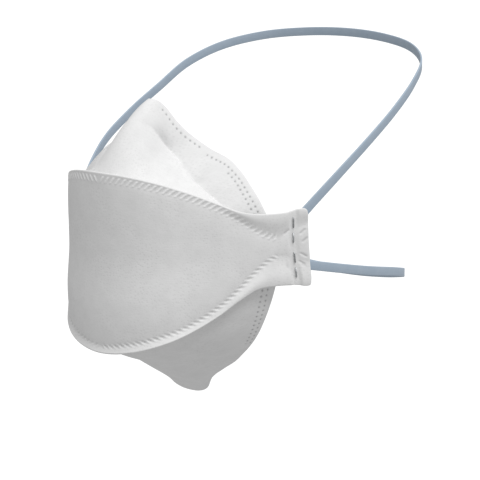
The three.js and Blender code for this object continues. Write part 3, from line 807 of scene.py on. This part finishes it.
def headband(name, tab_route, route, back):
    """One whole loop of flat elastic, from tab to tab round the head, and its length."""
    out = -TAB_CLOTH - GAP - BAND_THICKNESS / 2
    on_tab = plan_point(tab_route["s"], tab_route["z"], out)
    near = np.concatenate([on_tab, list(each_row(route))])
    far = near[::-1] * (-1, 1, 1)
    centres, length = centripetal(np.concatenate([near, [back], far]), BAND_SECTIONS)
    along = unit(np.gradient(centres, axis=0))
    outward = unit(np.cross(along, (0, 0, 1)))
    across = unit(np.cross(outward, along))
    piece = sweep(name, centres, across, outward, BAND_WIDTH, BAND_THICKNESS, BAND_CORNER)
    return piece, length


# ---- Staples --------------------------------------------------------------------------------

def rounded_route(corners, bend):
    """Points along straight runs joined by small bends, which start this far from a corner."""
    points = [corners[0]]
    for before, corner, after in zip(corners, corners[1:], corners[2:]):
        start = corner + unit(before - corner) * bend
        end = corner + unit(after - corner) * bend
        for t in np.linspace(0, 1, BEND_STEPS):
            points.append((1 - t) ** 2 * start + 2 * (1 - t) * t * corner + t**2 * end)
    points.append(corners[-1])
    return np.array(points)


def staple(name, side, height):
    """Crown inside over the band, legs out through the tab and folded together outside."""
    half = STAPLE_CROWN / 2
    crown_out = -TAB_CLOTH - GAP - BAND_THICKNESS - GAP - WIRE_THICKNESS / 2
    fold_out = STAPLE_SEAT + GAP + WIRE_THICKNESS / 2
    route = (
        (half - STAPLE_LEG_FOLD, fold_out),
        (half, fold_out),
        (half, crown_out),
        (-half, crown_out),
        (-half, fold_out),
        (-half + STAPLE_LEG_FOLD, fold_out),
    )
    corners = np.array(
        [cloth_point(side * STAPLE_AT, height + rise, out) for rise, out in route]
    ).reshape(-1, 3)
    centres = rounded_route(corners, WIRE_BEND)
    along = unit(np.gradient(centres, axis=0))
    face = unit(np.cross(corners[1] - corners[0], corners[2] - corners[1]))
    across = np.broadcast_to(face, centres.shape)
    outward = unit(np.cross(across, along))
    return sweep(name, centres, across, outward, WIRE_WIDTH, WIRE_THICKNESS, WIRE_CORNER)


# ---- Materials ------------------------------------------------------------------------------

# Scales are in cycles a metre, and relief is in metres. Where a scale has two values, the first
# is along the fibres, ribs or lines and the second is across them.
FIBRE_TURNS = (12, 71, 133)
FIBRE_SCALE = (260, 2600)
BOND_SCALE = 520
CLEAR_SCALE = 60
CLOUD_SCALE = 130
GRAIN_SCALE = 1400
WEB_GREYS = (0.80, 0.86)
FIBRE_GREY = 0.9
BOND_GREY = 0.68
PAINTED_HIGHLIGHT_GREY = 0.97
WELD_AND_PAINTED_SHADE_COLOUR = (0.3, 0.305, 0.31, 1)
CLOTH_RELIEF = 0.00009

RIB_SCALE = (30, 3000)
PATCH_SCALE = 160
SPECK_SCALE = 2500
ELASTIC_COLOURS = ((0.375, 0.465, 0.565, 1), (0.42, 0.505, 0.6, 1))
RIB_COLOUR = (0.5, 0.57, 0.65, 1)
ELASTIC_RELIEF = 0.00008

LINE_SCALE = (120, 9000)
TARNISH_SCALE = 700
STEEL_COLOURS = ((0.36, 0.37, 0.38, 1), (0.5, 0.51, 0.52, 1))
STEEL_RELIEF = 0.00003

BUMP_STRENGTH = 0.6
STEEL_BUMP_STRENGTH = 0.5


def grey(value):
    return (value, value, value, 1)


class Finish:
    """A procedural material, with short ways to add and join its nodes.

    A socket is named with _ for each space.
    """

    def __init__(self, name, **constants):
        self.material = bpy.data.materials.new(name)
        self.material.use_nodes = True
        self.nodes = self.material.node_tree.nodes
        self.links = self.material.node_tree.links
        self.shader = self.nodes["Principled BSDF"]
        for socket, value in constants.items():
            self.shader.inputs[socket.replace("_", " ")].default_value = value

    def add(self, kind, inputs=(), **settings):
        node = self.nodes.new("ShaderNode" + kind)
        for key, value in settings.items():
            setattr(node, key, value)
        for key, value in dict(inputs).items():
            if isinstance(value, bpy.types.NodeSocket):
                self.links.new(value, node.inputs[key])
            else:
                node.inputs[key].default_value = value
        return node

    def flat(self, stretch=(1, 1), turn=0.0):
        """Coordinates that lie on the flat cloth, stretched and turned."""
        source = self.add("Attribute", attribute_name="cloth").outputs["Vector"]
        inputs = {"Vector": source, "Scale": (*stretch, 1), "Rotation": (0, 0, math.radians(turn))}
        return self.add("Mapping", inputs).outputs["Vector"]

    def noise(self, vector, scale, detail=2.0, roughness=0.5):
        inputs = {"Vector": vector, "Scale": scale, "Detail": detail, "Roughness": roughness}
        return self.add("TexNoise", inputs).outputs["Fac"]

    def ramp(self, value, low, high, start, end):
        inputs = {
            "Value": value, "From Min": low, "From Max": high, "To Min": start, "To Max": end
        }
        return self.add("MapRange", inputs).outputs["Result"]

    def combine(self, operation, a, b):
        return self.add("Math", {0: a, 1: b}, operation=operation).outputs[0]

    def blend(self, share, a, b):
        node = self.add("Mix", {0: share, 6: a, 7: b}, data_type="RGBA")
        return node.outputs[2]

    def bump(self, height, distance, strength):
        inputs = {"Height": height, "Distance": distance, "Strength": strength}
        return self.add("Bump", inputs).outputs["Normal"]

    def set(self, **sockets):
        for socket, value in sockets.items():
            self.links.new(value, self.shader.inputs[socket.replace("_", " ")])


def cloth_finish():
    """White spunbond: a web of fine fibres, point bonds, soft clouding and fused welds, with painted
    shade in the creases and along the top strip's edge and painted highlights on the ridges between
    weld bars.
    """
    finish = Finish(
        "white_nonwoven", Sheen_Weight=0.12, Sheen_Roughness=0.6, IOR=1.45, Specular_IOR_Level=0.25
    )
    flat = finish.flat()
    fibres = None
    for turn in FIBRE_TURNS:
        strands = finish.noise(finish.flat(FIBRE_SCALE, turn), 1.0, detail=1.5)
        fibres = strands if fibres is None else finish.combine("MAXIMUM", fibres, strands)
    bond_inputs = {"Vector": flat, "Scale": BOND_SCALE, "Randomness": 0.75}
    bonds = finish.add("TexVoronoi", bond_inputs, voronoi_dimensions="2D").outputs["Distance"]
    clear = finish.ramp(finish.noise(flat, CLEAR_SCALE), 0.42, 0.6, 0.25, 1)
    bond = finish.combine("MULTIPLY", finish.ramp(bonds, 0.1, 0.32, 1, 0), clear)
    clouds = finish.noise(flat, CLOUD_SCALE, detail=3, roughness=0.6)
    grain = finish.noise(flat, GRAIN_SCALE, roughness=0.6)
    weld = finish.add("Attribute", attribute_name="weld").outputs["Fac"]
    web = finish.blend(finish.ramp(clouds, 0.3, 0.7, 0, 1), *map(grey, WEB_GREYS))
    web = finish.blend(finish.ramp(fibres, 0.5, 0.8, 0, 0.35), web, grey(FIBRE_GREY))
    web = finish.blend(finish.ramp(bond, 0, 1, 0, 0.3), web, grey(BOND_GREY))
    # painted highlight on the ridges between weld bars
    web = finish.blend(finish.ramp(weld, 0, -1, 0, 1), web, grey(PAINTED_HIGHLIGHT_GREY))
    # fused welds and dots, together with painted shade in the creases and along the top strip's edge
    colour = finish.blend(finish.ramp(weld, 0, 1, 0, 0.85), web, WELD_AND_PAINTED_SHADE_COLOUR)
    rough = finish.ramp(weld, 0, 1, 0.92, 0.55)
    height = finish.combine("ADD", fibres, finish.combine("MULTIPLY", grain, 0.6))
    height = finish.combine("SUBTRACT", height, finish.combine("MULTIPLY", bond, 0.5))
    normal = finish.bump(height, CLOTH_RELIEF, BUMP_STRENGTH)
    finish.set(Base_Color=colour, Roughness=rough, Normal=normal)
    return finish.material


def elastic_finish():
    """Grey-blue synthetic rubber strip with fine ribs along it."""
    finish = Finish(
        "grey_blue_elastic", Sheen_Weight=0.1, Sheen_Roughness=0.5, IOR=1.5, Specular_IOR_Level=0.35
    )
    ribs = finish.noise(finish.flat(RIB_SCALE), 1.0, detail=1)
    patches = finish.noise(finish.flat(), PATCH_SCALE, detail=3, roughness=0.6)
    specks = finish.noise(finish.flat(), SPECK_SCALE, roughness=0.6)
    colour = finish.blend(finish.ramp(patches, 0.3, 0.7, 0, 1), *ELASTIC_COLOURS)
    colour = finish.blend(finish.ramp(ribs, 0.4, 0.75, 0, 0.25), colour, RIB_COLOUR)
    height = finish.combine("ADD", ribs, finish.combine("MULTIPLY", specks, 0.5))
    rough = finish.ramp(specks, 0.2, 0.8, 0.5, 0.68)
    normal = finish.bump(height, ELASTIC_RELIEF, BUMP_STRENGTH)
    finish.set(Base_Color=colour, Roughness=rough, Normal=normal)
    return finish.material


def steel_finish():
    """Drawn steel wire, with fine lines along it."""
    finish = Finish("drawn_steel", Metallic=1.0, IOR=2.5)
    lines = finish.noise(finish.flat(LINE_SCALE), 1.0)
    tarnish = finish.noise(finish.flat(), TARNISH_SCALE, detail=3, roughness=0.6)
    colour = finish.blend(finish.ramp(tarnish, 0.3, 0.7, 0, 1), *STEEL_COLOURS)
    rough = finish.ramp(lines, 0.2, 0.8, 0.42, 0.6)
    normal = finish.bump(lines, STEEL_RELIEF, STEEL_BUMP_STRENGTH)
    finish.set(Base_Color=colour, Roughness=rough, Normal=normal)
    return finish.material


# ---- Pieces ---------------------------------------------------------------------------------

def dress(piece, node, material):
    """Puts a piece in the place of its solid, with its finish."""
    piece.data.materials.append(material)
    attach(piece, BODY)
    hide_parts(node)


cloth = cloth_finish()
elastic = elastic_finish()
steel = steel_finish()

panels = {
    "centre_panel": centre_panel(),
    "top_panel": side_panel(
        "top_panel_cloth",
        TOP_ROWS,
        weld="top_weld",
        tuck=-WELD_TUCK,
        sign=1,
        dots=TOP_DOTS,
        press=top_press,
        painted_shades=TOP_PAINTED_SHADES,
    ),
    "bottom_panel": side_panel(
        "bottom_panel_cloth",
        BOTTOM_ROWS,
        weld="bottom_weld",
        tuck=WELD_TUCK,
        sign=-1,
        dots=BOTTOM_DOTS,
        press=bottom_press,
        painted_shades={},
    ),
}
for node, (piece, flat, area) in panels.items():
    dress(piece, node, cloth)
    print(f"{node}: flat {flat[0]:.1f} x {flat[1]:.1f} mm, area {area:.0f} mm2")

bands = {
    "upper_headband": (UPPER_TAB_ROUTE, UPPER_ROUTE, UPPER_BACK),
    "lower_headband": (LOWER_TAB_ROUTE, LOWER_ROUTE, LOWER_BACK),
}
for node, (tab_route, route, back) in bands.items():
    piece, length = headband(node + "_strip", tab_route, route, back)
    dress(piece, node, elastic)
    print(f"{node}: length {length:.1f} mm")

for side_name, side in (("left", 1), ("right", -1)):
    for level, height in (("upper", UPPER_STAPLE_HEIGHT), ("lower", LOWER_STAPLE_HEIGHT)):
        node = f"{side_name}_{level}_staple"
        dress(staple(node + "_wire", side, height), node, steel)


# ---- Stage, light and camera ----------------------------------------------------------------

# Metres and degrees
FLOOR_REACH = 60.0
FLOOR_LEVEL = -0.55
FLOOR_GREY = 0.9
FLOOR_GLOW = 0.2
WORLD_STRENGTH = 0.465
SUN_DIRECTION = (0.43, -0.10, 0.90)
SUN_STRENGTH = 2.03
SUN_SOFTNESS = 40
CAMERA_AZIMUTH = 38
CAMERA_ELEVATION = 12.5
CAMERA_DISTANCE = 0.85
CAMERA_TARGET = (0.0525, -0.0113, 0.0061)
CAMERA_SENSOR_MM = 36
CAMERA_LENS_MM = 132.6


def stage_floor():
    """A wide pale floor, far enough below that no shadow of the mask shows near it."""
    mesh = bpy.data.meshes.new("floor")
    signs = ((-1, -1), (1, -1), (1, 1), (-1, 1))
    corners = [(x * FLOOR_REACH, y * FLOOR_REACH, FLOOR_LEVEL) for x, y in signs]
    mesh.from_pydata(corners, [], [(0, 1, 2, 3)])
    floor = bpy.data.objects.new("floor", mesh)
    bpy.context.scene.collection.objects.link(floor)
    finish = Finish(
        "floor_paper",
        Base_Color=grey(FLOOR_GREY),
        Roughness=0.9,
        Emission_Color=grey(1.0),
        Emission_Strength=FLOOR_GLOW,
    )
    mesh.materials.append(finish.material)
    floor.visible_diffuse = False
    floor.visible_glossy = False


def stage_world():
    world = bpy.data.worlds.new("studio")
    world.use_nodes = True
    background = world.node_tree.nodes["Background"]
    background.inputs["Color"].default_value = grey(1.0)
    background.inputs["Strength"].default_value = WORLD_STRENGTH
    bpy.context.scene.world = world


def stage_sun():
    light = bpy.data.lights.new("key", "SUN")
    light.energy = SUN_STRENGTH
    light.angle = math.radians(SUN_SOFTNESS)
    lamp = bpy.data.objects.new("key", light)
    lamp.rotation_euler = Vector(SUN_DIRECTION).to_track_quat("Z", "Y").to_euler()
    bpy.context.scene.collection.objects.link(lamp)


def stage_camera():
    azimuth = math.radians(CAMERA_AZIMUTH)
    elevation = math.radians(CAMERA_ELEVATION)
    back = Vector(
        (
            math.sin(azimuth) * math.cos(elevation),
            -math.cos(azimuth) * math.cos(elevation),
            math.sin(elevation),
        )
    )
    right = Vector((math.cos(azimuth), math.sin(azimuth), 0))
    up = back.cross(right)
    camera = bpy.data.objects.new("camera", bpy.data.cameras.new("camera"))
    camera.data.sensor_width = CAMERA_SENSOR_MM
    camera.data.lens = CAMERA_LENS_MM
    axes = Matrix((right, up, back)).transposed()
    place = Vector(CAMERA_TARGET) + back * CAMERA_DISTANCE
    camera.matrix_world = Matrix.Translation(place) @ axes.to_4x4()
    bpy.context.scene.collection.objects.link(camera)
    bpy.context.scene.camera = camera


stage_floor()
stage_world()
stage_sun()
stage_camera()
bpy.context.scene.view_settings.view_transform = "Standard"
